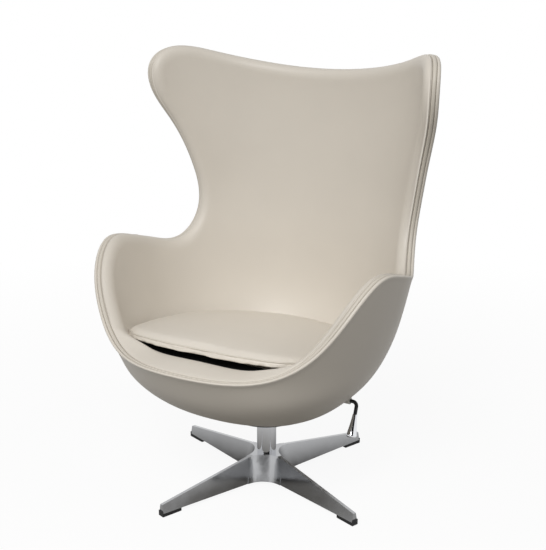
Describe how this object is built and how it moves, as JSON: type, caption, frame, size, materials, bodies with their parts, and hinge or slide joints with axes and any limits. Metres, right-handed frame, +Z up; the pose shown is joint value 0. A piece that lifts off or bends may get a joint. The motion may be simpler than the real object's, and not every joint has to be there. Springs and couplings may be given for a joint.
{
  "type": "pod chair",
  "caption": "Pod-shaped leather lounge chair with a high back, wings and a loose seat cushion, swivelling on a column over a cast cross base and tilting back, with a side lever.",
  "frame": {"origin": "on the floor, under the middle of the bounding box", "axes": "+Z up, -Y the way the sitter faces, +X the sitter's left"},
  "size_m": [0.8036, 0.7166, 1.0731],
  "materials": {
    "cream_leather": "satin",
    "welt_leather": "satin",
    "upholstery_foam": "matte",
    "black_cloth": "matte",
    "moulded_plastic": "matte",
    "plywood": "matte",
    "black_plastic": "matte",
    "white_nylon": "satin",
    "black_steel": "satin",
    "plain_steel": "satin",
    "chromed_steel": "polished",
    "polished_aluminium": "polished",
    "black_rubber": "matte"
  },
  "bodies": {
    "base": {"base_casting": "polished_aluminium", "column": "chromed_steel", "lower_bush": "white_nylon", "upper_bush": "black_plastic", "lower_race": "plain_steel", "glide_left": "black_plastic", "glide_back": "black_plastic", "glide_right": "black_plastic", "glide_front": "black_plastic", "glide_screws": "plain_steel"},
    "swivel_head": {"spindle": "plain_steel", "spindle_nut": "plain_steel", "spindle_washer": "plain_steel", "spindle_clip": "plain_steel", "upper_race": "plain_steel", "bearing_balls": "plain_steel", "ball_cage": "white_nylon", "swivel_bracket": "black_steel", "pivot_bushes": "white_nylon", "torsion_sleeve": "black_rubber"},
    "pod": {"outer_cover": "cream_leather", "outer_padding": "upholstery_foam", "moulded_shell": "moulded_plastic", "wall_padding": "upholstery_foam", "seat_foam": "upholstery_foam", "mounting_block": "plywood", "inner_cover": "cream_leather", "deck_lining": "black_cloth", "rim_welt": "welt_leather", "cushion_cover": "cream_leather", "cushion_core": "upholstery_foam", "cushion_piping": "welt_leather", "dust_cover": "black_plastic", "dust_cover_screws": "plain_steel", "seat_plate": "black_steel", "seat_plate_screws": "plain_steel", "tilt_pivot": "plain_steel", "pivot_clips": "plain_steel", "lever_bush": "white_nylon"},
    "lever": {"lever_rod": "black_steel", "lever_handle": "chromed_steel", "lever_nut": "plain_steel", "lever_collar": "plain_steel"}
  },
  "joints": [
    {"name": "swivel", "type": "hinge", "parent": "base", "child": "swivel_head", "pos_m": [0, 0.032, 0.1], "axis": [0, 0, 1], "continuous": true},
    {"name": "tilt", "type": "hinge", "parent": "swivel_head", "child": "pod", "pos_m": [0, 0.032, 0.261], "axis": [-1, 0, 0], "range_deg": [0, 12], "stiffness_Nm_per_rad": 180, "springref_deg": -5.73},
    {"name": "lever", "type": "hinge", "parent": "pod", "child": "lever", "pos_m": [0, 0.032, 0.261], "axis": [-1, 0, 0], "range_deg": [-20, 60]}
  ]
}
